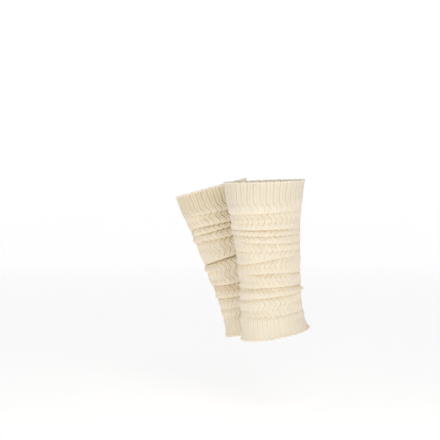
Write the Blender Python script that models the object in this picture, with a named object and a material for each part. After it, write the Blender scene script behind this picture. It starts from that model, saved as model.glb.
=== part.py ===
"""Pair of rib-knit leg warmers, worn: two open tubes pushed down into slouch folds.

Each warmer is three hollow solids, a rib cuff, a zigzag-rib body and a rib cuff, set one under
the other with a thin seam gap. Every wall is lofted ring by ring down the leg line. The ribs are
raised in the outer points only; the inside is plain and follows the folds. Sizes in millimetres
are turned to metres where the points are made. +X is the wearer's left, -Y the front, +Z up.
"""

from collections import namedtuple
from math import cos, exp, radians, sin, tau

import bmesh
import bpy

COLLECTION = "Leg_warmers"
MM = 0.001

# Knitted wall
RIBS = 36                # ribs round the tube
POINTS_A_RIB = 2         # outer points for each rib: its crest and the furrow beside it
INSIDE_POINTS = 24       # points round the plain inside
WALL = 2.4               # cloth between the furrows and the inside
RIB_RAISE = 1.2          # how far a rib stands over its furrow
ZIGZAG_SWING = 5.5       # sideways travel of a body rib, side to side
ZIGZAG_DEPTH = 20.0      # height of one whole zigzag
EDGE_SCALLOP = 0.5       # wave of the bound-off edges
EDGE_ROUND = 2.0         # depth over which a bound-off edge thins
SEAM_GAP = 0.32          # between a cuff and the body

# Folds
LIP_ABOVE = 3.6          # a roll's lip lies this far above its crease
LIP_BULGE = 0.28         # outward bulge of the lip, as a share of the crease depth
LIP_SAG = 0.15           # downward sag of the lip, as a share of the crease depth
TUCK_OUTER = 3.0         # how sharply the outside turns in over a crease
TUCK_INNER = 6.0         # how sharply the inside does
RECOVERY = 7.0           # how soon the roll below a crease swells out again
WIDE_ROLL = 12.0         # a tall roll has one more ring for each such height between its folds

# Directions round the leg, in degrees from +X towards +Y
OUTER_FRONT = -35.0
OUTER_BACK = 55.0
INNER_BACK = 145.0
INNER_FRONT = 235.0

# Colours of the solids
CREAM = (0.831, 0.753, 0.604, 1.0)

# Ring of the leg line: drop below the top edge, centre, half sizes, slope of the ring's plane
Section = namedtuple("Section", "drop x y z half_width half_depth slope_x slope_y")
# Crease: drop, extra drop on the outer back (less on the inner front), depth in four directions
Crease = namedtuple("Crease", "drop skew outer_front outer_back inner_back inner_front")

LEFT_SECTIONS = [
    Section(0, 0.0, 0.0, 14.7, 58.8, 58.2, 0.011, 0.034),
    Section(28, 0.4, 0.1, -13.9, 54.8, 55.2, 0.020, 0.055),
    Section(45, 0.8, 1.1, -31.3, 51.4, 52.0, 0.018, 0.058),
    Section(75, 1.7, 3.0, -61.3, 48.2, 49.2, 0.005, 0.058),
    Section(109, 2.8, 5.6, -95.3, 44.6, 46.6, -0.010, 0.070),
    Section(146, 3.8, 8.0, -132.3, 43.0, 45.0, -0.014, 0.086),
    Section(168, 4.1, 8.8, -154.3, 42.8, 45.0, -0.008, 0.104),
    Section(190, 4.4, 10.6, -176.3, 42.8, 45.4, 0.004, 0.130),
    Section(212, 5.2, 13.4, -197.6, 44.6, 47.8, 0.016, 0.164),
    Section(227, 6.0, 16.0, -211.5, 47.2, 51.2, 0.021, 0.186),
]
RIGHT_SECTIONS = [
    Section(0, -152.5, 9.6, 2.6, 52.8, 52.4, 0.181, 0.206),
    Section(28, -148.1, 18.8, -24.4, 52.0, 52.2, 0.182, 0.214),
    Section(45, -145.1, 24.4, -41.4, 49.8, 50.4, 0.178, 0.222),
    Section(75, -139.9, 33.9, -71.4, 47.4, 48.6, 0.168, 0.240),
    Section(109, -134.4, 44.9, -105.4, 45.8, 48.0, 0.156, 0.252),
    Section(146, -128.0, 56.6, -142.4, 44.2, 46.8, 0.146, 0.252),
    Section(168, -124.4, 63.2, -164.4, 43.2, 46.2, 0.140, 0.246),
    Section(190, -120.9, 68.6, -186.4, 43.4, 46.8, 0.130, 0.236),
    Section(212, -118.0, 73.2, -207.0, 45.2, 49.2, 0.122, 0.222),
    Section(224, -117.0, 75.4, -217.4, 46.4, 50.4, 0.119, 0.214),
]
LEFT_CREASES = [
    Crease(46.5, 0.2, 2.0, 0.6, 2.8, 1.4),
    Crease(70, 0.9, 3.7, 0.3, 3.8, 1.2),
    Crease(78.5, 2.3, 2.3, 1.8, 1.2, 1.8),
    Crease(89.2, 2.6, 2.0, 1.8, 3.2, 0.4),
    Crease(101, 1.0, 1.1, 0.8, 3.6, 2.6),
    Crease(114, -5.0, 2.2, 0.1, 2.4, 2.4),
    Crease(133, 1.4, 1.8, 2.8, 3.4, 0.2),
    Crease(153, 0.1, 2.6, 3.4, 1.8, 1.2),
    Crease(167.5, -2.4, 2.3, 1.2, 3.6, 1.6),
    Crease(184.5, 0.5, 0.7, 0.2, 2.2, 1.4),
]
RIGHT_CREASES = [
    Crease(38.2, 2.5, 2.6, 1.8, 2.4, 0.8),
    Crease(55, 0.8, 4.6, 3.2, 2.2, 3.0),
    Crease(63.8, 0.5, 4.0, 2.2, 3.4, 3.4),
    Crease(75.6, 1.0, 2.8, 3.0, 1.0, 2.4),
    Crease(91, 1.0, 0.6, 3.2, 3.2, 0.6),
    Crease(104.4, -2.8, 5.4, 4.0, 3.0, 4.8),
    Crease(142.4, 1.2, 3.6, 2.0, 4.2, 3.8),
    Crease(162.5, 2.5, 2.2, 3.0, 1.6, 3.2),
    Crease(178, 0.0, 1.0, 2.4, 3.2, 0.8),
]

Warmer = namedtuple("Warmer", "side sections creases body_top body_bottom")
LEFT = Warmer("left", LEFT_SECTIONS, LEFT_CREASES, 28.0, 196.0)
RIGHT = Warmer("right", RIGHT_SECTIONS, RIGHT_CREASES, 25.0, 193.0)


def between(sections, drop):
    """Section at a drop, eased through the rows of the table."""
    last = len(sections) - 2
    row = 0
    while row < last and sections[row + 1].drop < drop:
        row += 1
    start = sections[row]
    end = sections[row + 1]
    before = sections[max(row - 1, 0)]
    after = sections[min(row + 2, len(sections) - 1)]
    span = end.drop - start.drop
    share = (drop - start.drop) / span
    values = []
    for earlier, here, there, later in zip(before, start, end, after):
        leave = (there - earlier) * span / max(end.drop - before.drop, span)
        arrive = (later - here) * span / max(after.drop - start.drop, span)
        bend = share * share * (3 - 2 * share)
        values.append(
            here + (there - here) * bend
            + leave * share * (1 - share) ** 2
            - arrive * share * share * (1 - share)
        )
    return Section(*values)


def round_the_leg(angle, outer_front, outer_back, inner_back, inner_front):
    """Value at an angle, blended from the two nearest of the four directions."""
    total = 0.0
    for value, direction in (
        (outer_front, OUTER_FRONT),
        (outer_back, OUTER_BACK),
        (inner_back, INNER_BACK),
        (inner_front, INNER_FRONT),
    ):
        total += value * max(0.0, cos(angle - radians(direction))) ** 2
    return total


def crease_drop(crease, angle):
    """Height of a crease line at an angle: a slight lean and an uneven wave."""
    wave = 0.5 * sin(2 * angle + 0.37 * crease.drop) + 0.4 * sin(3 * angle + 0.61 * crease.drop)
    return crease.drop + crease.skew * cos(angle - radians(OUTER_BACK)) + wave


def folds(warmer, drop, angle, tuck):
    """Inset of the wall and sag of the lips at a drop and an angle."""
    inset = 0.0
    sag = 0.0
    for crease in warmer.creases:
        depth = round_the_leg(angle, *crease[2:])
        below = drop - crease_drop(crease, angle)
        if below < 0:
            inset += depth * exp(-((below / tuck) ** 2))
        else:
            inset += depth * exp(-below / RECOVERY)
        lip = exp(-(((below + LIP_ABOVE) / TUCK_OUTER) ** 2))
        inset -= LIP_BULGE * depth * lip
        sag += LIP_SAG * depth * lip
    return inset, sag


def zigzag(warmer, drop):
    """Sideways travel of the ribs, a to-and-fro line over the body and still on the cuffs."""
    inside = min(max(drop, warmer.body_top), warmer.body_bottom) - warmer.body_top
    turn = (inside / ZIGZAG_DEPTH) % 1.0
    return ZIGZAG_SWING * (0.5 - abs(2 * turn - 1))


def wall_point(warmer, drop, angle, inward, tuck, lift):
    """One point of the wall, in metres."""
    section = between(warmer.sections, drop)
    inset, sag = folds(warmer, drop, angle, tuck)
    across = (section.half_width - inset - inward) * cos(angle)
    along = (section.half_depth - inset - inward) * sin(angle)
    return (
        (section.x + across) * MM,
        (section.y + along) * MM,
        (section.z + section.slope_x * across + section.slope_y * along - sag + lift) * MM,
    )


def ring_drops(warmer, top, bottom, angle):
    """Drops of the rings between two ends: a lip and a crease for each fold, one on wide rolls."""
    lines = []
    for crease in warmer.creases:
        valley = crease_drop(crease, angle)
        lines.append((crease.drop, valley - LIP_ABOVE))
        lines.append((crease.drop, valley))
    drops = [top]
    plan = [top]
    for row, (mark, drop) in enumerate(lines):
        if mark < top or mark > bottom:
            continue
        is_lip = row % 2 == 0
        plan_drop = mark - LIP_ABOVE if is_lip else mark
        rings = int((plan_drop - plan[-1]) / WIDE_ROLL) if is_lip else 0
        fill(drops, drop, rings)
        plan.append(plan_drop)
    fill(drops, bottom, int((bottom - plan[-1]) / WIDE_ROLL))
    return drops


def fill(drops, drop, rings):
    """Adds a ring's drop to a list, with a number of rings spread evenly before it."""
    start = drops[-1]
    for ring in range(rings):
        drops.append(start + (drop - start) * (ring + 1) / (rings + 1))
    drops.append(drop)


def cuff_drops(top, bottom, open_end):
    """Drops of a cuff's rings: its ends, its middle and one close to the open edge."""
    middle = (top + bottom) / 2
    if open_end == "top":
        return [top, top + EDGE_ROUND, middle, bottom]
    return [top, middle, bottom - EDGE_ROUND, bottom]


def tube(name, warmer, drops_at, edge_top, edge_bottom):
    """Hollow solid lofted through rings, ribbed outside and plain inside."""
    mesh = bmesh.new()
    outer_count = RIBS * POINTS_A_RIB
    rows = len(drops_at(0.0))
    outer = []
    inner = []
    for row in range(rows):
        edge = 1 if row == 0 else -1 if row == rows - 1 else 0
        scalloped = (row == 0 and edge_top) or (row == rows - 1 and edge_bottom)
        ring = []
        for point in range(outer_count):
            is_crest = point % POINTS_A_RIB == 0
            angle = tau * point / outer_count
            drop = drops_at(angle)[row]
            size = between(warmer.sections, drop)
            angle += zigzag(warmer, drop) / size.half_width
            drop = drops_at(angle)[row]
            raise_by = RIB_RAISE if is_crest else 0.0
            lift = 0.0
            if scalloped:
                raise_by *= 0.5
                lift = edge * EDGE_SCALLOP * (1 if is_crest else -1)
            ring.append(mesh.verts.new(wall_point(warmer, drop, angle, -raise_by, TUCK_OUTER, lift)))
        outer.append(ring)
        ring = []
        for point in range(INSIDE_POINTS):
            angle = tau * (point + 0.25) / INSIDE_POINTS
            drop = drops_at(angle)[row]
            ring.append(mesh.verts.new(wall_point(warmer, drop, angle, WALL, TUCK_INNER, 0.0)))
        inner.append(ring)
    skin(mesh, outer)
    skin(mesh, inner)
    rim(mesh, outer[0], inner[0])
    rim(mesh, outer[-1], inner[-1])
    bmesh.ops.triangulate(mesh, faces=mesh.faces[:], quad_method="SHORT_EDGE")
    bmesh.ops.recalc_face_normals(mesh, faces=mesh.faces[:])
    data = bpy.data.meshes.new(name)
    mesh.to_mesh(data)
    mesh.free()
    return bpy.data.objects.new(name, data)


def skin(mesh, rings):
    """Faces between rings that have the same number of points."""
    count = len(rings[0])
    for upper, lower in zip(rings, rings[1:]):
        for point in range(count):
            after = (point + 1) % count
            mesh.faces.new((upper[point], upper[after], lower[after], lower[point]))


def rim(mesh, outer, inner):
    """Open edge between the ribbed outside ring and the plain inside ring."""
    step = len(outer) // len(inner)
    for point in range(len(inner)):
        after = (point + 1) % len(inner)
        start = point * step
        run = [outer[(start + number) % len(outer)] for number in range(step + 1)]
        for here, there in zip(run, run[1:]):
            mesh.faces.new((here, there, inner[point]))
        mesh.faces.new((run[-1], inner[after], inner[point]))


def knit_material(name, colour):
    """Matt knitted yarn in one colour."""
    material = bpy.data.materials.new(name)
    material.use_nodes = True
    shader = material.node_tree.nodes["Principled BSDF"]
    shader.inputs["Base Color"].default_value = colour
    shader.inputs["Roughness"].default_value = 0.9
    return material


def build_warmer(warmer, collection):
    """The two cuffs and the body of one warmer."""
    half_gap = SEAM_GAP / 2
    bottom = warmer.sections[-1].drop
    pieces = [
        tube(
            warmer.side + "_top_cuff", warmer,
            lambda angle: cuff_drops(0.0, warmer.body_top - half_gap, "top"), True, False,
        ),
        tube(
            warmer.side + "_body", warmer,
            lambda angle: ring_drops(
                warmer, warmer.body_top + half_gap, warmer.body_bottom - half_gap, angle
            ),
            False, False,
        ),
        tube(
            warmer.side + "_bottom_cuff", warmer,
            lambda angle: cuff_drops(warmer.body_bottom + half_gap, bottom, "bottom"), False, True,
        ),
    ]
    for piece in pieces:
        piece.data.materials.append(knit_material(piece.name + "_yarn", CREAM))
        collection.objects.link(piece)


def main():
    """Clears the scene and builds the pair."""
    for old in list(bpy.data.objects):
        bpy.data.objects.remove(old, do_unlink=True)
    collection = bpy.data.collections.new(COLLECTION)
    bpy.context.scene.collection.children.link(collection)
    build_warmer(LEFT, collection)
    build_warmer(RIGHT, collection)


main()
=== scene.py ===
"""Leg warmers: the looks of a worn pair of slouched rib-knit leg warmers.

The pair is two open knitted tubes. Each has a straight-rib cuff above and below and a body of
travelling ribs pushed down into rolls. Every piece is a thin shell on the form of its solid:
rings are laid down its length, the creases tuck them in, the lips of the rolls sag over the
creases, and two wales stand on each rib. The bound-off and cast-on edges are two-strand plaits.

Sizes in the tables are millimetres and angles are degrees. +X is the pair's left as worn, -Y
its front and +Z up.
"""

from collections import namedtuple
from math import radians, tau

import bpy
import numpy as np
from mathutils import Matrix, Vector


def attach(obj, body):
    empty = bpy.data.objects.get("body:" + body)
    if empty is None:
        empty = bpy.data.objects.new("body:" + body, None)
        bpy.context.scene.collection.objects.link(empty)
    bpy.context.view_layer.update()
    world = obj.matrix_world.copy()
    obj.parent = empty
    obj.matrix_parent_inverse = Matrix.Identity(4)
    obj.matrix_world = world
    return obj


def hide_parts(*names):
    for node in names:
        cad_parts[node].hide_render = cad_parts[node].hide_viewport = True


bl_info = {
    "name": "Slouched leg warmers",
    "version": (1, 0, 0),
    "blender": (4, 5, 0),
    "location": "View3D > Sidebar > Leg warmers",
    "description": "Knits a worn pair of slouched rib-knit leg warmers",
    "category": "Add Mesh",
}

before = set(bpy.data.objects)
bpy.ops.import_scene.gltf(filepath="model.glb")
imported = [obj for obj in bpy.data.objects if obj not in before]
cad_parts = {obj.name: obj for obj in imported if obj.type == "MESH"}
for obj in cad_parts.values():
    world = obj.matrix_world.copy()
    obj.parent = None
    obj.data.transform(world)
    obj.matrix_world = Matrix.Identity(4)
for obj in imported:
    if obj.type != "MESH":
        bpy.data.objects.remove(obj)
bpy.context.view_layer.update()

MM = 0.001
BODY = "root"
STITCH_MAP = "stitches"      # UV map counted in wales across and courses down
TONE_WITH_PAINTED_SHADE = "relief"            # point attribute: tone with painted shade, 1 on a wale, less in furrows, creases and cuffs
WARMTH = "warmth"            # point attribute: painted warm light, 1 at a crease and on its lip, below 0 on top cuffs

# Directions round a warmer
OUTER_FRONT = -35.0
OUTER_BACK = 55.0
INNER_BACK = 145.0
INNER_FRONT = 235.0
QUARTERS = (OUTER_FRONT, OUTER_BACK, INNER_BACK, INNER_FRONT)

# Ring of a warmer: drop below the top edge, centre, half sizes, slope of the ring's plane
Section = namedtuple("Section", "drop x y z half_width half_depth slope_x slope_y")
# Crease: drop, extra drop on the outer back (less on the inner front), depth in four directions,
# cloth that it takes up
Crease = namedtuple(
    "Crease", "drop skew outer_front outer_back inner_back inner_front taken", defaults=(0.0,)
)
# rib_share: how high its ribs stand and how dark their painted shade is, more where the cloth
# hangs looser
Warmer = namedtuple("Warmer", "side sections creases wrinkles body_top body_bottom rib_share")

LEFT_SECTIONS = [
    Section(0, 0.0, 0.0, 14.7, 58.8, 58.2, 0.011, 0.034),
    Section(28, 0.4, 0.1, -13.9, 54.8, 55.2, 0.020, 0.055),
    Section(45, 0.8, 1.1, -31.3, 51.4, 52.0, 0.018, 0.058),
    Section(75, 1.7, 3.0, -61.3, 48.2, 49.2, 0.005, 0.058),
    Section(109, 2.8, 5.6, -95.3, 44.6, 46.6, -0.010, 0.070),
    Section(146, 3.8, 8.0, -132.3, 43.0, 45.0, -0.014, 0.086),
    Section(168, 4.1, 8.8, -154.3, 42.8, 45.0, -0.008, 0.104),
    Section(190, 4.4, 10.6, -176.3, 42.8, 45.4, 0.004, 0.130),
    Section(212, 5.2, 13.4, -197.6, 44.6, 47.8, 0.016, 0.164),
    Section(227, 6.0, 16.0, -211.5, 47.2, 51.2, 0.021, 0.186),
]
RIGHT_SECTIONS = [
    Section(0, -152.5, 9.6, 2.6, 52.8, 52.4, 0.181, 0.206),
    Section(28, -148.1, 18.8, -24.4, 52.0, 52.2, 0.182, 0.214),
    Section(45, -145.1, 24.4, -41.4, 49.8, 50.4, 0.178, 0.222),
    Section(75, -139.9, 33.9, -71.4, 47.4, 48.6, 0.168, 0.240),
    Section(109, -134.4, 44.9, -105.4, 45.8, 48.0, 0.156, 0.252),
    Section(146, -128.0, 56.6, -142.4, 44.2, 46.8, 0.146, 0.252),
    Section(168, -124.4, 63.2, -164.4, 43.2, 46.2, 0.140, 0.246),
    Section(190, -120.9, 68.6, -186.4, 43.4, 46.8, 0.130, 0.236),
    Section(212, -118.0, 73.2, -207.0, 45.2, 49.2, 0.122, 0.222),
    Section(224, -117.0, 75.4, -217.4, 46.4, 50.4, 0.119, 0.214),
]
LEFT_CREASES = [
    Crease(46.5, 0.2, 2.0, 0.6, 2.8, 1.4, 4.0),
    Crease(70, 0.9, 3.7, 0.3, 3.8, 1.2, 8.0),
    Crease(78.5, 2.3, 2.3, 1.8, 1.2, 1.8, 6.0),
    Crease(89.2, 2.6, 2.0, 1.8, 3.2, 0.4, 6.0),
    Crease(101, 1.0, 1.1, 0.8, 3.6, 2.6, 3.0),
    Crease(114, -5.0, 2.2, 0.1, 2.4, 2.4, 6.0),
    Crease(133, 1.4, 1.8, 2.8, 3.4, 0.2, 5.0),
    Crease(153, 0.1, 2.6, 3.4, 1.8, 1.2, 8.0),
    Crease(167.5, -2.4, 2.3, 1.2, 3.6, 1.6, 7.0),
    Crease(184.5, 0.5, 0.7, 0.2, 2.2, 1.4, 2.0),
]
RIGHT_CREASES = [
    Crease(38.2, 2.5, 2.6, 1.8, 2.4, 0.8, 5.0),
    Crease(55, 0.8, 4.6, 3.2, 2.2, 3.0, 9.0),
    Crease(63.8, 0.5, 4.0, 2.2, 3.4, 3.4, 8.0),
    Crease(75.6, 1.0, 2.8, 3.0, 1.0, 2.4, 5.0),
    Crease(91, 1.0, 0.6, 3.2, 3.2, 0.6, 1.0),
    Crease(104.4, -2.8, 5.4, 4.0, 3.0, 4.8, 17.0),
    Crease(142.4, 1.2, 3.6, 2.0, 4.2, 3.8, 8.0),
    Crease(162.5, 2.5, 2.2, 3.0, 1.6, 3.2, 6.0),
    Crease(178, 0.0, 1.0, 2.4, 3.2, 0.8, 3.0),
]
# Soft shallow troughs between the creases, too fine for the solids
LEFT_WRINKLES = [
    Crease(33, 2.5, 0.9, 0.6, 0.5, 0.8),
    Crease(53, 0.5, 1.2, 0.6, 0.2, 0.9),
    Crease(59, 0.0, 1.5, 0.8, 0.3, 1.2),
    Crease(122.5, 1.2, 0.9, 0.3, 0.4, 0.9),
    Crease(136, 1.4, 1.1, 0.8, 0.6, 0.2),
    Crease(144, 1.0, 0.7, 0.5, 1.0, 0.8),
    Crease(156.5, 0.1, 1.3, 0.6, 0.6, 0.8),
    Crease(161, 0.0, 0.0, -3.5, 0.9, 0.9),
    Crease(193, 0.0, 0.9, 0.8, 0.8, 0.9),
    Crease(176, 1.0, 0.2, 1.3, 0.2, 0.0),
    Crease(204, 1.0, 0.2, 1.2, 0.3, 0.0),
]
RIGHT_WRINKLES = [
    Crease(28, 0.0, 0.9, 0.7, 0.5, 0.6),
    Crease(102, 1.0, 0.7, 1.0, 0.6, 0.9),
    Crease(122, -1.0, 0.9, 0.5, 0.9, 0.9),
    Crease(132, 0.0, 0.8, 0.9, 0.3, 1.6),
    Crease(118, 1.0, 0.4, 0.3, 0.8, 0.6),
    Crease(150.5, 1.0, 2.6, 1.2, 0.6, 0.8),
    Crease(44, 2.0, 1.3, 0.6, 0.3, 0.7),
    Crease(190, 0.0, 0.9, 0.8, 0.9, 0.9),
    # Rolls that stand out, and dents between them, on the inner front alone
    Crease(63, 0.0, 0.0, 0.0, 0.0, -1.2),
    Crease(69.5, 0.0, 0.0, 0.0, 0.0, -2.4),
    Crease(77.5, 0.0, 0.3, 0.0, 0.0, 1.4),
    Crease(104.5, 0.0, 0.0, 0.0, 0.0, 2.6),
    Crease(114.5, 0.0, 0.0, 0.0, 0.0, -3.0),
    Crease(121, 0.0, 0.0, 0.0, 0.0, 1.6),
    Crease(146.5, 0.0, 0.0, 0.0, 0.0, 1.6),
    Crease(157, 0.0, 0.0, 0.0, 0.0, -2.8),
    Crease(166, 0.0, 0.0, 0.0, 0.0, 2.2),
]
LEFT = Warmer("left", LEFT_SECTIONS, LEFT_CREASES, LEFT_WRINKLES, 28.0, 196.0, 0.84)
RIGHT = Warmer("right", RIGHT_SECTIONS, RIGHT_CREASES, RIGHT_WRINKLES, 25.0, 193.0, 1.3)
PAIR = (LEFT, RIGHT)

# Folds
LIP_ABOVE = 3.2          # a roll's lip lies this far above its crease
LIP_SPREAD = 2.4         # height of the lip
LIP_BULGE = 0.27         # outward bulge of the lip, as a share of the crease depth
LIP_STRETCH = 0.65       # how far the ribs flatten where the cloth is tight over a lip
FULL_LIP = 3.5           # a crease this deep pulls its lip fully tight
TUCK_OUTER = 2.0         # how sharply the outside turns in over a crease
TUCK_INNER = 6.0         # how sharply the inside does
SLOT_SHARE = 0.62        # share of the depth that lies in the narrow slot below the lip
SLOT = 0.9               # least height of that slot
SLOT_GAPE = 0.22         # how much higher it is for each mm of depth
MOST_SAG = 1.8           # a lip sags no further than this
FURROW_SAG = 0.62        # share of the sag that a furrow takes
WALE_SAG = 0.5           # and what a wale takes beyond it
RECOVERY = 7.0           # how soon the roll below a crease swells out again
DEPTH_UNEVEN = 0.18      # how much a crease's depth wanders along it
TAKING_SPREAD = 1.5      # height over which a crease takes up its cloth
WRINKLE_SPREAD = 2.6     # half the height of a soft trough

# Knitting
RIBS = 36
WALES_A_RIB = 2
POINTS_A_RIB = 8         # mesh points across one rib
RIB_SINK = 0.15          # share of a rib's height that lies inside the solid's face
FURROW_WIDTH = 0.115     # half the width of a furrow, as a share of a rib
BODY_FURROW = 0.01       # how much wider that is on the body
SPLIT_WIDTH = 0.085      # half the width of the split between a rib's two wales
SPLIT_DEPTH = 0.6        # depth of the split, as a share of the furrow's
BODY_SPLIT = 0.14        # how much shallower that is on the body
INSIDE_RELIEF = -0.35    # the ribs' reverse, on the inside
STITCH_CHANGE = 3.0      # height over which the straight ribs turn into the zigzag
ZIGZAG_SHARP = 0.75      # share of sharp turns in the zigzag, the rest are rounded
ZIGZAG_ROUND = 2.4       # fullness of the rounded ones
RIB_WANDER = 0.5         # how far a rib strays sideways
WALL_WANDER = 0.5        # how far the cloth strays in and out
CROWDED_RIBS = 0.34      # how much higher ribs stand for each mm that the cloth is pushed in
MOST_CROWDED = 3.0       # beyond this depth they stand no higher
ANKLE_EASE = 12.0        # the bottom cuff is fully stretched this far below the body
CALF_REACH = 12.0        # the top cuff's stretch ends this far down the body
CALF_EASE = 14.0         # height over which it ends
POINTS_A_WALE = 8        # points of an edge strand along one wale
POINTS_ROUND_YARN = 8
PLAIT_LIFT = 0.85        # how far a strand of the plait lies from its middle, in yarn radii
PLAIT_INSET = 0.1        # how far in from the face the plait lies, as a share of the wall
PLAIT_RELIEF = 0.85      # how closely the plait follows the ribs in and out
EDGE_WANDER = 0.2        # how far the finished edge strays up and down
EDGE_ROOM = 1.5          # the knitting ends this far inside the finished edge, in the plait
ROW_STEP = 0.9           # mesh rows down the outside
INSIDE_STEP = 2.4        # mesh rows down the inside
CROWDING = 1.6           # how much closer the rows lie at a crease
CROWDED_ABOVE = 0.8      # they lie closest this far above it
CROWDED_SPREAD = 2.4     # and over this height
FINE_ROWS = 3000         # steps in which the rows' places are worked out

# Tone of the cloth with its painted shade, from 1 on a wale down to the furrow's colour
LIP_FLAT = 0.4           # how much paler the furrows are on a tight lip
ANKLE_FLAT = 0.55        # on the bottom cuff
BODY_FLAT = 0.32         # and on the body
CREASE_SHADE = 0.21      # fall in tone for each mm that the cloth lies deep
SHADE_FROM = 0.3         # from this depth
MOST_SHADED = 2.8        # over this much more
ANKLE_SHADE = 0.3        # fall in tone of the bottom cuff
CALF_SHADE = 0.45        # of the top cuff
BODY_SHADE = 0.05        # and of the body
# Painted warm light: lips of the rolls and the shade in the creases are tinted warmer
LIP_WARMTH = 0.8
CREASE_WARMTH = 0.45     # for each mm in or out
CALF_COOLNESS = 1.5      # the top cuff, stretched thin, is tinted cooler, which offsets the yellow of its painted shade

# Pattern of the yarn
MOTTLE_SCALE = 38.0      # patches of dye about 26 mm across
FIBRE_SCALE = 1100.0     # plies and stray fibres, drawn at 0.9 mm so that they show
WARMTH_SHARE = 0.35      # how far the warmth moves the colour
STITCH_SLANT = -1.1      # rise of a stitch's two legs, in courses for each wale
STITCH_SHARE = 0.55      # height of the stitches beside the fibres'
DARKEST = 0.68           # most of the furrow's colour that shows, as painted shade
HOLLOW_SHADE = 0.16            # painted shade: most of the furrow's colour in the hollows of the yarn

# Flat cut of each piece, for one warmer: length, metres
TOP_CUFF_LENGTH = 0.027
BOTTOM_CUFF_LENGTH = 0.032


def linear(code):
    """Scene-linear colour of an sRGB hex code."""
    channels = [int(code[place:place + 2], 16) / 255 for place in (1, 3, 5)]
    return [c / 12.92 if c <= 0.04045 else ((c + 0.055) / 1.055) ** 2.4 for c in channels]


def section_at(sections, drops):
    """Sections at an array of drops, eased through the rows of the table."""
    table = np.array(sections, dtype=float)
    row = np.clip(np.searchsorted(table[:, 0], drops, side="left") - 1, 0, len(table) - 2)
    start = table[row]
    end = table[row + 1]
    before = table[np.maximum(row - 1, 0)]
    after = table[np.minimum(row + 2, len(table) - 1)]
    span = (end[..., 0] - start[..., 0])[..., None]
    share = (np.asarray(drops)[..., None] - start[..., :1]) / span
    leave = (end - before) * span / np.maximum(end[..., :1] - before[..., :1], span)
    arrive = (after - start) * span / np.maximum(after[..., :1] - start[..., :1], span)
    values = (
        start + (end - start) * share * share * (3 - 2 * share)
        + leave * share * (1 - share) ** 2
        - arrive * share * share * (1 - share)
    )
    return Section(*np.moveaxis(values, -1, 0))


def crease_depth(crease, angle):
    """Depth of a crease round the warmer, blended from the two nearest of its four directions."""
    total = np.zeros_like(angle)
    for value, direction in zip(crease[2:6], QUARTERS):
        total += value * np.maximum(0.0, np.cos(angle - radians(direction))) ** 2
    return total


def crease_drop(crease, angle):
    """Height of a crease line round the warmer: a slight lean and an uneven wave."""
    wave = 0.5 * np.sin(2 * angle + 0.37 * crease.drop)
    wave += 0.4 * np.sin(3 * angle + 0.61 * crease.drop)
    return crease.drop + crease.skew * np.cos(angle - radians(OUTER_BACK)) + wave


def uneven(angle, drop, seed):
    """Smooth unevenness of hand-pushed cloth, about -1 to 1, the same on each run."""
    total = np.sin(3 * angle + 0.061 * drop + seed)
    total += 0.8 * np.sin(5 * angle - 0.093 * drop + 2.1 * seed)
    total += 0.6 * np.sin(8 * angle + 0.17 * drop + 3.7 * seed)
    return total / 2.4       # the three waves' heights together


def folds(warmer, drop, angle, tuck, lip_sag):
    """Inset of the wall, sag and tightness of the lips, and cloth swallowed above each point."""
    inset = np.zeros_like(drop)
    sag = np.zeros_like(drop)
    tight = np.zeros_like(drop)
    swallowed = np.zeros_like(drop)
    for crease in warmer.creases:
        depth = crease_depth(crease, angle)
        depth *= 1 + DEPTH_UNEVEN * uneven(angle, 0.0, 0.7 * crease.drop)
        below = drop - crease_drop(crease, angle)
        turned_in = np.exp(-((below / tuck) ** 2))
        swelling = SLOT_SHARE * np.exp(-np.abs(below) / (SLOT + SLOT_GAPE * depth))
        swelling += (1 - SLOT_SHARE) * np.exp(-np.abs(below) / RECOVERY)
        inset += depth * np.where(below < 0, turned_in, swelling)
        lip = np.exp(-(((below + LIP_ABOVE) / LIP_SPREAD) ** 2))
        inset -= LIP_BULGE * depth * lip
        sag += MOST_SAG * np.tanh(lip_sag * depth / MOST_SAG) * lip
        tight += lip * np.minimum(depth / FULL_LIP, 1)
        swallowed += crease.taken / (1 + np.exp(-below / TAKING_SPREAD))
    for wrinkle in warmer.wrinkles:
        below = drop - crease_drop(wrinkle, angle)
        inset += crease_depth(wrinkle, angle) * np.exp(-((below / WRINKLE_SPREAD) ** 2))
    return inset, sag, tight, swallowed


def on_body(warmer, drop):
    """1 on the body and 0 on the cuffs, with a short change between."""
    below_top = np.clip((drop - warmer.body_top) / STITCH_CHANGE, 0, 1)
    return below_top * np.clip((warmer.body_bottom - drop) / STITCH_CHANGE, 0, 1)


def travel(courses, body, knit):
    """Sideways travel of the ribs: to and fro over the body, still on the cuffs."""
    turn = (courses / knit.zigzag_depth) % 1.0
    rounded = np.tanh(ZIGZAG_ROUND * np.sin(tau * (turn - 0.25))) / np.tanh(ZIGZAG_ROUND)
    sharp = 1 - np.abs(2 * turn - 1) * 2
    zigzag = ZIGZAG_SHARP * sharp + (1 - ZIGZAG_SHARP) * rounded
    return 0.5 * knit.zigzag_swing * (zigzag * body - (1 - body))


def rib_relief(across, body):
    """Height of the ribs for a place across them, 0 in a furrow and 1 on a wale."""
    place = across % 1.0
    to_furrow = np.minimum(place, 1 - place)
    to_split = np.abs(place - 0.5)
    furrow = np.exp(-((to_furrow / (FURROW_WIDTH + BODY_FURROW * body)) ** 2))
    split = (SPLIT_DEPTH - BODY_SPLIT * body) * np.exp(-((to_split / SPLIT_WIDTH) ** 2))
    return 1 - furrow - split


def rib_height(warmer, drop, angle, inset, tight, ankle, knit):
    """Height of a rib, mm: less where the cloth is stretched, more where it is pushed in."""
    crowded = CROWDED_RIBS * np.clip(inset, 0, MOST_CROWDED)
    height = knit.rib_raise * (1 - LIP_STRETCH * np.minimum(tight, 1) + crowded)
    height *= (1 - knit.ankle_stretch * ankle) * warmer.rib_share
    # No rib stands quite as high as the next, or keeps its height all the way down
    height *= 1 + 0.15 * np.sin(13 * angle + 0.07 * drop)
    return height * (1 + 0.3 * uneven(angle + 0.4, 2.2 * drop, 2.6))


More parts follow.
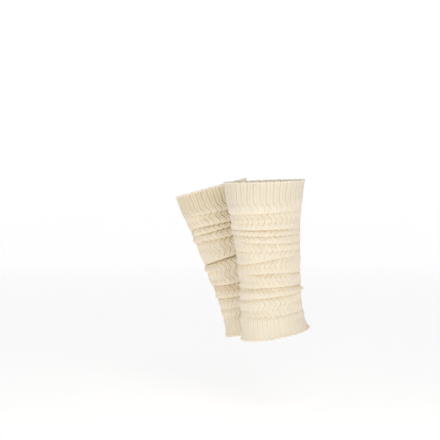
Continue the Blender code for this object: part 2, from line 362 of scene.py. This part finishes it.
def shading(warmer, drop, relief, inset, tight, ankle, body):
    """Tone and warmth of the cloth at each point."""
    calf = np.clip((warmer.body_top + CALF_REACH - drop) / CALF_EASE, 0, 1)
    flat = np.maximum(LIP_FLAT * np.minimum(tight, 1), ANKLE_FLAT * ankle)
    tone = 1 - warmer.rib_share * (1 - relief) * (1 - flat) * (1 - BODY_FLAT * body)
    # Painted shade: deep cloth in the creases is darkened, and so are the cuffs and the body
    tone -= CREASE_SHADE / warmer.rib_share * np.clip(inset - SHADE_FROM, 0, MOST_SHADED)
    tone -= warmer.rib_share * (ANKLE_SHADE * ankle + CALF_SHADE * calf) + BODY_SHADE * body
    warmth = np.clip(LIP_WARMTH * tight + CREASE_WARMTH * np.abs(inset), 0, 1)
    return tone, warmth - CALF_COOLNESS * calf


def tube_points(warmer, drop, base_angle, inward, relief_share, tuck, knit):
    """Wall points, in metres, with the tone, the warmth and the courses at each."""
    size = section_at(warmer.sections, drop)
    body = on_body(warmer, drop)
    ankle = np.clip((drop - warmer.body_bottom) / ANKLE_EASE, 0, 1)
    swallowed = folds(warmer, drop, base_angle, tuck, knit.lip_sag)[3]
    courses = drop - warmer.body_top + swallowed
    # The ribs stray a little, and no two are quite as wide
    shift = travel(courses, body, knit) + RIB_WANDER * uneven(base_angle, drop, 4.0)
    shift += 0.38 * np.sin(17 * base_angle + 0.05 * drop)
    shift += 0.3 * np.sin(11 * base_angle - 0.09 * drop)
    angle = base_angle + shift / size.half_width
    relief = rib_relief(base_angle * RIBS / tau, body)
    inset, sag, tight, _ = folds(warmer, drop, angle, tuck, knit.lip_sag)
    sag *= FURROW_SAG + WALE_SAG * relief * relief_share
    height = rib_height(warmer, drop, base_angle, inset, tight, ankle, knit)
    push = relief_share * (relief - RIB_SINK) * height - inset - inward
    push += WALL_WANDER * uneven(angle, 1.7 * drop, 1.3)
    across = (size.half_width + push) * np.cos(angle)
    along = (size.half_depth + push) * np.sin(angle)
    rise = size.slope_x * across + size.slope_y * along - sag
    points = np.stack([size.x + across, size.y + along, size.z + rise], axis=-1)
    tone, warmth = shading(warmer, drop, relief, inset, tight, ankle, body)
    return points * MM, tone, warmth, courses


def row_drops(warmer, top, bottom, step, columns):
    """Drops of the mesh's rows: they run along the creases and lie closest there."""
    fine = np.linspace(top, bottom, FINE_ROWS)
    crowd = np.ones_like(fine)
    for crease in warmer.creases:
        past = fine - crease.drop + CROWDED_ABOVE
        crowd += CROWDING * np.exp(-((past / CROWDED_SPREAD) ** 2))
    grown = np.cumsum(crowd) * (bottom - top) / len(fine)
    grown -= grown[0]
    rows = max(int(grown[-1] / step), 4)
    base = np.interp(np.linspace(0, grown[-1], rows), grown, fine)
    marks = [warmer.body_top, *(crease.drop for crease in warmer.creases), warmer.body_bottom]
    angles = tau * np.arange(columns) / columns
    drop = np.empty((rows, columns))
    for column, angle in enumerate(angles):
        bend = [crease_drop(crease, angle) - crease.drop for crease in warmer.creases]
        drop[:, column] = base + np.interp(base, marks, [0.0, *bend, 0.0])
    return drop, np.broadcast_to(angles, drop.shape)


def grid_faces(rows, columns, first, inward):
    """Quads of a closed tube of rings, facing out, or in where asked."""
    row, column = np.meshgrid(np.arange(rows - 1), np.arange(columns), indexing="ij")
    after = (column + 1) % columns
    corners = [
        first + row * columns + column,
        first + (row + 1) * columns + column,
        first + (row + 1) * columns + after,
        first + row * columns + after,
    ]
    if inward:
        corners.reverse()
    return np.stack(corners, axis=-1).reshape(-1, 4)


def rim_faces(outer_start, outer_count, inner_start, inner_count, upward):
    """Faces that close the wall between an outer ring and an inner ring with fewer points."""
    faces = []
    step = outer_count // inner_count
    for place in range(inner_count):
        after = inner_start + (place + 1) % inner_count
        here = inner_start + place
        run = [outer_start + (place * step + number) % outer_count for number in range(step + 1)]
        for one, two in zip(run, run[1:]):
            faces.append((one, two, here))
        faces.append((run[-1], after, here))
    if not upward:
        faces = [face[::-1] for face in faces]
    return faces


def knit_tube(name, warmer, top, bottom, knit):
    """One knitted piece: a ribbed outside, an inside with the ribs' reverse, and two rims."""
    outer_columns = RIBS * POINTS_A_RIB
    inner_columns = outer_columns // 2
    parts = []
    rows = []
    for columns, step, inward, relief_share, tuck in (
        (outer_columns, ROW_STEP, 0.0, 1.0, TUCK_OUTER),
        (inner_columns, INSIDE_STEP, knit.wall, INSIDE_RELIEF, TUCK_INNER),
    ):
        drop, angle = row_drops(warmer, top, bottom, step, columns)
        rows.append(len(drop))
        parts.append(tube_points(warmer, drop, angle, inward, relief_share, tuck, knit))
    outer_rows, inner_rows = rows
    points = np.concatenate([part[0].reshape(-1, 3) for part in parts])
    tone = np.concatenate([part[1].reshape(-1) for part in parts])
    warmth = np.concatenate([part[2].reshape(-1) for part in parts])
    courses = np.concatenate([part[3].reshape(-1) for part in parts]) / knit.course
    inner_start = outer_rows * outer_columns
    last_outer = (outer_rows - 1) * outer_columns
    last_inner = inner_start + (inner_rows - 1) * inner_columns
    faces = grid_faces(outer_rows, outer_columns, 0, False).tolist()
    outside_count = len(faces)
    faces += grid_faces(inner_rows, inner_columns, inner_start, True).tolist()
    skin_count = len(faces)
    faces += rim_faces(0, outer_columns, inner_start, inner_columns, True)
    faces += rim_faces(last_outer, outer_columns, last_inner, inner_columns, False)
    data = bpy.data.meshes.new(name)
    data.from_pydata(points.tolist(), [], faces)
    data.attributes.new(TONE_WITH_PAINTED_SHADE, "FLOAT", "POINT").data.foreach_set("value", tone)
    data.attributes.new(WARMTH, "FLOAT", "POINT").data.foreach_set("value", warmth)
    add_stitch_map(data, courses, outside_count, outer_columns, skin_count, inner_columns)
    data.shade_smooth()
    sharpen_rims(data, skin_count)
    piece = bpy.data.objects.new(name, data)
    bpy.context.scene.collection.objects.link(piece)
    return piece


def add_stitch_map(data, courses, outside_count, outer_columns, skin_count, inner_columns):
    """UV map that counts wales across and courses down, with no stretch where a ring closes."""
    layer = data.uv_layers.new(name=STITCH_MAP)
    vertex = np.empty(len(data.loops), dtype=np.int32)
    data.loops.foreach_get("vertex_index", vertex)
    starts = np.empty(len(data.polygons), dtype=np.int32)
    data.polygons.foreach_get("loop_start", starts)
    totals = np.empty(len(data.polygons), dtype=np.int32)
    data.polygons.foreach_get("loop_total", totals)
    face = np.repeat(np.arange(len(totals)), totals)
    corner = np.arange(len(vertex)) - np.repeat(starts, totals)
    column = np.zeros(len(vertex))
    outside = face < outside_count
    inside = (face >= outside_count) & (face < skin_count)
    after = (corner == 2) | (corner == 3)
    column[outside] = (face[outside] % outer_columns) + after[outside]
    after = (corner == 0) | (corner == 1)
    column[inside] = 2.0 * (((face[inside] - outside_count) % inner_columns) + after[inside])
    values = np.empty((len(vertex), 2))
    values[:, 0] = column * WALES_A_RIB / POINTS_A_RIB
    values[:, 1] = courses[vertex]
    layer.data.foreach_set("uv", values.reshape(-1))


def sharpen_rims(data, skin_count):
    """Keeps the wall's skins smooth up to the rims, which turn sharply."""
    sharp = np.zeros(len(data.edges), dtype=bool)
    count = np.zeros(len(data.edges), dtype=np.int32)
    for face in data.polygons[skin_count:]:
        for loop in face.loop_indices:
            count[data.loops[loop].edge_index] += 1
    sharp[count == 1] = True
    data.attributes.new("sharp_edge", "BOOLEAN", "EDGE").data.foreach_set("value", sharp)


def edge_plait(name, warmer, drop, upward, knit):
    """Plait of a finished edge: two strands that cross once over each wale, joined as one mesh."""
    samples = RIBS * WALES_A_RIB * POINTS_A_WALE
    angle = tau * np.arange(samples) / samples
    level = np.full(samples, drop)
    inward = PLAIT_INSET * knit.wall
    centre = tube_points(warmer, level, angle, inward, PLAIT_RELIEF, TUCK_OUTER, knit)[0]
    ahead = np.roll(centre, -1, axis=0) - np.roll(centre, 1, axis=0)
    ahead /= np.linalg.norm(ahead, axis=1, keepdims=True)
    outward = np.stack([np.cos(angle), np.sin(angle), np.zeros_like(angle)], axis=-1)
    rise = np.cross(outward, ahead)
    rise /= np.linalg.norm(rise, axis=1, keepdims=True)
    outward = np.cross(ahead, rise)
    # The edge dips between the ribs
    scallop = -knit.edge_scallop * MM * (0.5 + 0.5 * np.cos(angle * RIBS))
    scallop += EDGE_WANDER * MM * np.sin(23 * angle + drop)
    centre = centre + rise * (upward * scallop)[:, None]
    yarn = knit.yarn * MM
    points = []
    faces = []
    for strand in (0.0, 0.5):
        turn = (angle * RIBS + tau * strand)[:, None]
        middle = centre + yarn * PLAIT_LIFT * (outward * np.cos(turn) + rise * np.sin(turn))
        start = len(points) * samples
        for place in range(POINTS_ROUND_YARN):
            roll = tau * place / POINTS_ROUND_YARN
            points.append(middle + yarn * (outward * np.cos(roll) + rise * np.sin(roll)))
        for place in range(POINTS_ROUND_YARN):
            here = start + place * samples
            beside = start + (place + 1) % POINTS_ROUND_YARN * samples
            for sample in range(samples):
                after = (sample + 1) % samples
                faces.append((here + sample, here + after, beside + after, beside + sample))
    data = bpy.data.meshes.new(name)
    points = np.concatenate(points)
    data.from_pydata(points.tolist(), [], faces)
    data.attributes.new(TONE_WITH_PAINTED_SHADE, "FLOAT", "POINT").data.foreach_set("value", np.ones(len(points)))
    data.shade_smooth()
    piece = bpy.data.objects.new(name, data)
    bpy.context.scene.collection.objects.link(piece)
    return piece


def add_node(tree, kind, settings=None, links=None):
    """Adds a node, sets its properties and inputs, and links its inputs to other sockets."""
    node = tree.nodes.new(kind)
    for key, value in (settings or {}).items():
        if isinstance(key, str) and hasattr(node, key):
            setattr(node, key, value)
        else:
            node.inputs[key].default_value = value
    for key, socket in (links or {}).items():
        tree.links.new(socket, node.inputs[key])
    return node


def yarn_material(name, colours, knit, stitched):
    """Soft plied cotton-blend yarn, knitted: matt, with a short nap that lifts the edges."""
    material = bpy.data.materials.new(name)
    material.use_nodes = True
    tree = material.node_tree
    tree.nodes.clear()
    place = add_node(tree, "ShaderNodeTexCoord").outputs["Object"]
    # Painted shade of the furrows, creases and cuffs, carried by the tone attribute
    relief = add_node(tree, "ShaderNodeAttribute", {"attribute_name": TONE_WITH_PAINTED_SHADE}).outputs["Fac"]
    warmth = add_node(tree, "ShaderNodeAttribute", {"attribute_name": WARMTH}).outputs["Fac"]
    # Dye takes unevenly over a few centimetres
    mottle = add_node(
        tree, "ShaderNodeTexNoise", {"Scale": MOTTLE_SCALE, "Detail": 3.0, "Roughness": 0.6},
        {"Vector": place},
    ).outputs["Fac"]
    # Painted warm light: the lips of the rolls and the shade of the creases are tinted warmer than
    # plain cloth
    warm = add_node(
        tree, "ShaderNodeMath", {"operation": "MULTIPLY_ADD", 1: WARMTH_SHARE},
        {0: warmth, 2: mottle},
    ).outputs[0]
    fibre = add_node(
        tree, "ShaderNodeTexNoise", {"Scale": FIBRE_SCALE, "Detail": 2.0, "Roughness": 0.7},
        {"Vector": place},
    ).outputs["Fac"]
    height = fibre
    if stitched:
        # Each stitch is a V: its two legs rise from the middle of the wale
        counted = add_node(tree, "ShaderNodeUVMap", {"uv_map": STITCH_MAP}).outputs["UV"]
        parts = add_node(tree, "ShaderNodeSeparateXYZ", None, {"Vector": counted}).outputs
        wale = add_node(tree, "ShaderNodeMath", {"operation": "FRACT"}, {0: parts["X"]}).outputs[0]
        middle = add_node(
            tree, "ShaderNodeMath", {"operation": "SUBTRACT", 1: 0.5}, {0: wale}
        ).outputs[0]
        leg = add_node(tree, "ShaderNodeMath", {"operation": "ABSOLUTE"}, {0: middle}).outputs[0]
        slope = add_node(
            tree, "ShaderNodeMath", {"operation": "MULTIPLY_ADD", 1: STITCH_SLANT},
            {0: leg, 2: parts["Y"]},
        ).outputs[0]
        phase = add_node(
            tree, "ShaderNodeMath", {"operation": "MULTIPLY", 1: tau}, {0: slope}
        ).outputs[0]
        wave = add_node(tree, "ShaderNodeMath", {"operation": "SINE"}, {0: phase}).outputs[0]
        height = add_node(
            tree, "ShaderNodeMath", {"operation": "MULTIPLY_ADD", 1: STITCH_SHARE},
            {0: wave, 2: fibre},
        ).outputs[0]
    bump = add_node(
        tree, "ShaderNodeBump", {"Strength": 0.55, "Distance": knit.stitch_raise * MM},
        {"Height": height},
    ).outputs["Normal"]
    lit = add_node(
        tree, "ShaderNodeMix",
        {"data_type": "RGBA", 6: (*linear(colours.cool), 1), 7: (*linear(colours.warm), 1)},
        {0: warm},
    ).outputs[2]
    # Painted shade: the furrow's colour is mixed in where the tone is low
    deep = add_node(
        tree, "ShaderNodeMapRange",
        {"From Min": -0.3, "From Max": 0.8, "To Min": DARKEST, "To Max": 0.0},
        {"Value": relief},
    ).outputs[0]
    body = add_node(
        tree, "ShaderNodeMix", {"data_type": "RGBA", 7: (*linear(colours.furrow), 1)},
        {0: deep, 6: lit},
    ).outputs[2]
    # Painted shade in the hollows of the yarn, where the fibre noise is low
    hollow_shade = add_node(
        tree, "ShaderNodeMapRange",
        {"From Min": 0.35, "From Max": 0.65, "To Min": HOLLOW_SHADE, "To Max": 0.0},
        {"Value": fibre},
    ).outputs[0]
    tinted = add_node(
        tree, "ShaderNodeMix", {"data_type": "RGBA", 7: (*linear(colours.furrow), 1)},
        {0: hollow_shade, 6: body},
    ).outputs[2]
    shader = add_node(
        tree, "ShaderNodeBsdfPrincipled",
        {
            "Roughness": 0.88,
            "IOR": 1.5,
            "Specular IOR Level": 0.25,
            "Sheen Weight": 0.18,
            "Sheen Roughness": 0.45,
        },
        {"Base Color": tinted, "Normal": bump},
    )
    add_node(tree, "ShaderNodeOutputMaterial", None, {"Surface": shader.outputs[0]})
    return material


def dress(piece, node, material, replace):
    """Gives a piece its material and body, and lets it replace its solid if asked."""
    piece.data.materials.append(material)
    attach(piece, BODY)
    if replace:
        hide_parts(node)


class KnitSettings(bpy.types.PropertyGroup):
    """Sizes of the knitting, in millimetres."""

    wall: bpy.props.FloatProperty(
        name="Wall", description="Cloth between the furrows and the inside, mm", default=2.2,
        min=1.0, max=4.0,
    )
    rib_raise: bpy.props.FloatProperty(
        name="Rib height", description="How far a rib stands over its furrow, mm", default=1.7,
        min=0.2, max=3.0,
    )
    ankle_stretch: bpy.props.FloatProperty(
        name="Ankle stretch", description="How much flatter the ribs lie on the bottom cuff",
        default=0.45, min=0.0, max=1.0,
    )
    zigzag_swing: bpy.props.FloatProperty(
        name="Zigzag swing", description="Sideways travel of a body rib, mm", default=6.0,
        min=0.0, max=10.0,
    )
    zigzag_depth: bpy.props.FloatProperty(
        name="Zigzag depth", description="Height of one whole zigzag, mm of cloth", default=21.0,
        min=8.0, max=60.0,
    )
    lip_sag: bpy.props.FloatProperty(
        name="Lip sag", description="Sag of a roll over its crease, share of the crease depth",
        default=0.5, min=0.0, max=0.7,
    )
    course: bpy.props.FloatProperty(
        name="Course", description="Height of one course of stitches, mm", default=2.9,
        min=1.0, max=6.0,
    )
    stitch_raise: bpy.props.FloatProperty(
        name="Stitch depth", description="Depth between the stitches, mm", default=0.5,
        min=0.0, max=1.5,
    )
    edge_scallop: bpy.props.FloatProperty(
        name="Edge scallop", description="Dip of the finished edge between two ribs, mm",
        default=0.9, min=0.0, max=3.0,
    )
    yarn: bpy.props.FloatProperty(
        name="Yarn radius", description="Half the thickness of the yarn, mm", default=0.95,
        min=0.3, max=2.0,
    )


class YarnColours(bpy.types.PropertyGroup):
    """Colours of the yarn and of its painted shade, as sRGB hex codes."""

    # The mix of these two follows the dye and also the painted warm light on lips and creases
    cool: bpy.props.StringProperty(
        name="Cool cream", description="Body colour where the dye took least", default="#F2EADD",
    )
    warm: bpy.props.StringProperty(
        name="Warm cream", description="Body colour where the dye took most", default="#FBEDD5",
    )
    # Painted shade colour, mixed into the furrows, the creases and the cuffs
    furrow: bpy.props.StringProperty(
        name="Furrow", description="Colour deep between the ribs", default="#D9C593",
    )
    edge_cool: bpy.props.StringProperty(
        name="Edge cool", description="Pale colour of the finished edges", default="#FBF3E4",
    )
    edge_warm: bpy.props.StringProperty(
        name="Edge warm", description="Warm tint of the finished edges", default="#FBF0DE",
    )


class StageSettings(bpy.types.PropertyGroup):
    """The plain studio."""

    floor: bpy.props.StringProperty(
        name="Floor", description="Colour of the floor and backdrop", default="#D8D8D8",
    )
    glow: bpy.props.FloatProperty(
        name="Paper glow", description="Light that comes through the white paper", default=0.62,
        min=0.0,
    )
    key: bpy.props.FloatProperty(
        name="Key light", description="Power of the large soft light", default=17.5,
        min=0.0, unit="POWER",
    )
    fill: bpy.props.FloatProperty(
        name="Fill light", description="Power of the light from the other side", default=4.0,
        min=0.0, unit="POWER",
    )
    sky: bpy.props.FloatProperty(
        name="Sky", description="Strength of the even light all round", default=0.33, min=0.0,
    )


class LEGWARMERS_OT_cuffs(bpy.types.Operator):
    """Knits the four straight-rib cuffs"""

    bl_idname = "legwarmers.cuffs"
    bl_label = "Rib cuffs"

    def execute(self, context):
        knit = context.scene.leg_warmer_knit
        # Cotton rib, worn stretched: matt and even, with straight shaded furrows
        colours = context.scene.leg_warmer_yarn
        material = yarn_material("Rib_knit_cotton_cuffs", colours, knit, True)
        for warmer in PAIR:
            last = warmer.sections[-1].drop
            for part, top, bottom, length in (
                ("top_cuff", EDGE_ROOM, warmer.body_top, TOP_CUFF_LENGTH),
                ("bottom_cuff", warmer.body_bottom, last - EDGE_ROOM, BOTTOM_CUFF_LENGTH),
            ):
                node = f"{warmer.side}_{part}"
                piece = knit_tube(f"{node}_knit", warmer, top, bottom, knit)
                dress(piece, node, material, True)
        return {"FINISHED"}


class LEGWARMERS_OT_bodies(bpy.types.Operator):
    """Knits the two zigzag-rib bodies with their rolls and creases"""

    bl_idname = "legwarmers.bodies"
    bl_label = "Slouched bodies"

    def execute(self, context):
        knit = context.scene.leg_warmer_knit
        # The same yarn in a slack zigzag rib: matt, with painted warm light on its lips and in its
        # creases
        colours = context.scene.leg_warmer_yarn
        material = yarn_material("Zigzag_knit_cotton_body", colours, knit, True)
        for warmer in PAIR:
            node = f"{warmer.side}_body"
            piece = knit_tube(f"{node}_knit", warmer, warmer.body_top, warmer.body_bottom, knit)
            dress(piece, node, material, True)
        return {"FINISHED"}


class LEGWARMERS_OT_edges(bpy.types.Operator):
    """Lays the plaits of yarn along the bound-off and cast-on edges"""

    bl_idname = "legwarmers.edges"
    bl_label = "Finished edges"

    def execute(self, context):
        knit = context.scene.leg_warmer_knit
        yarn = context.scene.leg_warmer_yarn
        pale = namedtuple("Pale", "cool warm furrow")(yarn.edge_cool, yarn.edge_warm, yarn.furrow)
        # The same yarn plaited at the rim, where nothing shades it: paler, without stitches
        material = yarn_material("Cotton_yarn_edge_plait", pale, knit, False)
        for warmer in PAIR:
            for part, drop, upward in (
                ("top_cuff", EDGE_ROOM, 1.0),
                ("bottom_cuff", warmer.sections[-1].drop - EDGE_ROOM, -1.0),
            ):
                node = f"{warmer.side}_{part}"
                plait = edge_plait(f"{node}_edge_plait", warmer, drop, upward, knit)
                dress(plait, node, material, False)
        return {"FINISHED"}


# Camera of the photograph: direction, distance and the point that lies in mid-picture
VIEW_AZIMUTH = 55.0
VIEW_ELEVATION = 2.0
VIEW_DISTANCE = 2.4
VIEW_PIXELS = 1632.0         # focal length in pixels of a picture 440 wide
PICTURE_WIDTH = 440.0
SENSOR_WIDTH = 36.0
SIGHT = 60.0                 # the camera sees this far
AIM_LEFT = 0.0650
AIM_UP = 0.0434

# Studio, in metres: each lamp's name, setting, colour, width and place
LAMPS = (
    ("Key_softbox", "key", "#FFFFFF", 1.4, (2.06, -1.02, 0.95)),
    ("Fill_softbox", "fill", "#FFF7EA", 1.6, (0.4, -2.2, 0.7)),
)
FLOOR_Z = -0.335
BACKDROP = ((0.0, 0.0), (2.0, 0.0), (3.6, 0.01), (4.2, 0.12), (4.6, 0.5), (4.8, 1.6))
BACKDROP_SIDES = 64
PAPER_SHADE = "#D2D2D2"      # darkest tone of the paper's grain


class LEGWARMERS_OT_stage(bpy.types.Operator):
    """Sets the pale floor, the soft lights and the camera"""

    bl_idname = "legwarmers.stage"
    bl_label = "Stage"

    def execute(self, context):
        scene = context.scene
        settings = scene.leg_warmer_stage
        turn = radians(VIEW_AZIMUTH)
        tip = radians(VIEW_ELEVATION)
        right = Vector((np.cos(turn), np.sin(turn), 0))
        ahead = Vector((-np.sin(turn) * np.cos(tip), np.cos(turn) * np.cos(tip), -np.sin(tip)))
        above = right.cross(ahead)
        aim = -right * AIM_LEFT - above * AIM_UP
        lens = bpy.data.cameras.new("Photo_camera")
        lens.sensor_width = SENSOR_WIDTH
        lens.lens = VIEW_PIXELS / PICTURE_WIDTH * lens.sensor_width
        lens.clip_end = SIGHT
        camera = bpy.data.objects.new("Photo_camera", lens)
        turned = Matrix((right, above, -ahead)).transposed().to_4x4()
        camera.matrix_world = Matrix.Translation(aim - ahead * VIEW_DISTANCE) @ turned
        scene.collection.objects.link(camera)
        scene.camera = camera
        self.lay_floor(scene, settings)
        for name, setting, colour, size, place in LAMPS:
            light = bpy.data.lights.new(name, "AREA")
            light.energy = getattr(settings, setting)
            light.color = linear(colour)
            light.shape = "DISK"
            light.size = size
            lamp = bpy.data.objects.new(name, light)
            lamp.location = place
            lamp.rotation_euler = (-Vector(place)).to_track_quat("-Z", "Y").to_euler()
            scene.collection.objects.link(lamp)
        world = bpy.data.worlds.new("Even_studio_light")
        world.use_nodes = True
        sky = world.node_tree.nodes["Background"]
        sky.inputs["Color"].default_value = (1, 1, 1, 1)
        sky.inputs["Strength"].default_value = settings.sky
        scene.world = world
        scene.view_settings.view_transform = "Standard"
        return {"FINISHED"}

    @staticmethod
    def lay_floor(scene, settings):
        """Round pale floor that sweeps up into a backdrop all round."""
        sides = BACKDROP_SIDES
        points = []
        faces = []
        for distance, height in BACKDROP:
            for side in range(sides):
                angle = tau * side / sides
                points.append((
                    distance * np.cos(angle), distance * np.sin(angle), FLOOR_Z + height
                ))
        for ring in range(len(BACKDROP) - 1):
            for side in range(sides):
                after = (side + 1) % sides
                faces.append((
                    ring * sides + side, ring * sides + after,
                    (ring + 1) * sides + after, (ring + 1) * sides + side,
                ))
        data = bpy.data.meshes.new("Studio_floor")
        data.from_pydata(points, [], faces)
        data.shade_smooth()
        floor = bpy.data.objects.new("Studio_floor", data)
        # Uncoated paper, rolled smooth and lit from behind: no gloss, only the faintest grain
        material = bpy.data.materials.new("Matt_white_paper")
        material.use_nodes = True
        tree = material.node_tree
        shader = tree.nodes["Principled BSDF"]
        grain = add_node(tree, "ShaderNodeTexNoise", {"Scale": 60.0, "Detail": 2.0}).outputs["Fac"]
        white = (*linear(settings.floor), 1)
        tone = add_node(
            tree, "ShaderNodeMix", {"data_type": "RGBA", 6: white, 7: (*linear(PAPER_SHADE), 1)},
            {0: grain},
        ).outputs[2]
        tree.links.new(tone, shader.inputs["Base Color"])
        shader.inputs["Roughness"].default_value = 0.95
        shader.inputs["Emission Color"].default_value = (1, 1, 1, 1)
        shader.inputs["Emission Strength"].default_value = settings.glow
        data.materials.append(material)
        scene.collection.objects.link(floor)


class LEGWARMERS_PT_panel(bpy.types.Panel):
    """Leg warmer tools"""

    bl_label = "Leg warmers"
    bl_idname = "LEGWARMERS_PT_panel"
    bl_space_type = "VIEW_3D"
    bl_region_type = "UI"
    bl_category = "Leg warmers"

    def draw(self, context):
        layout = self.layout
        for group in ("leg_warmer_knit", "leg_warmer_yarn", "leg_warmer_stage"):
            settings = getattr(context.scene, group)
            box = layout.box()
            for key in settings.__annotations__:
                box.prop(settings, key)
        for kind in STEPS:
            layout.operator(kind.bl_idname)


STEPS = (LEGWARMERS_OT_edges, LEGWARMERS_OT_cuffs, LEGWARMERS_OT_bodies, LEGWARMERS_OT_stage)
GROUPS = {
    "leg_warmer_knit": KnitSettings,
    "leg_warmer_yarn": YarnColours,
    "leg_warmer_stage": StageSettings,
}


def register():
    """Registers the settings, the operators and the panel."""
    for name, group in GROUPS.items():
        bpy.utils.register_class(group)
        setattr(bpy.types.Scene, name, bpy.props.PointerProperty(type=group))
    for kind in (*STEPS, LEGWARMERS_PT_panel):
        bpy.utils.register_class(kind)


def unregister():
    """Takes them away again."""
    for kind in (LEGWARMERS_PT_panel, *reversed(STEPS)):
        bpy.utils.unregister_class(kind)
    for name, group in GROUPS.items():
        delattr(bpy.types.Scene, name)
        bpy.utils.unregister_class(group)


def main():
    """Makes the pair and its stage."""
    register()
    bpy.ops.legwarmers.edges()
    bpy.ops.legwarmers.cuffs()
    bpy.ops.legwarmers.bodies()
    bpy.ops.legwarmers.stage()


if __name__ == "__main__":
    main()
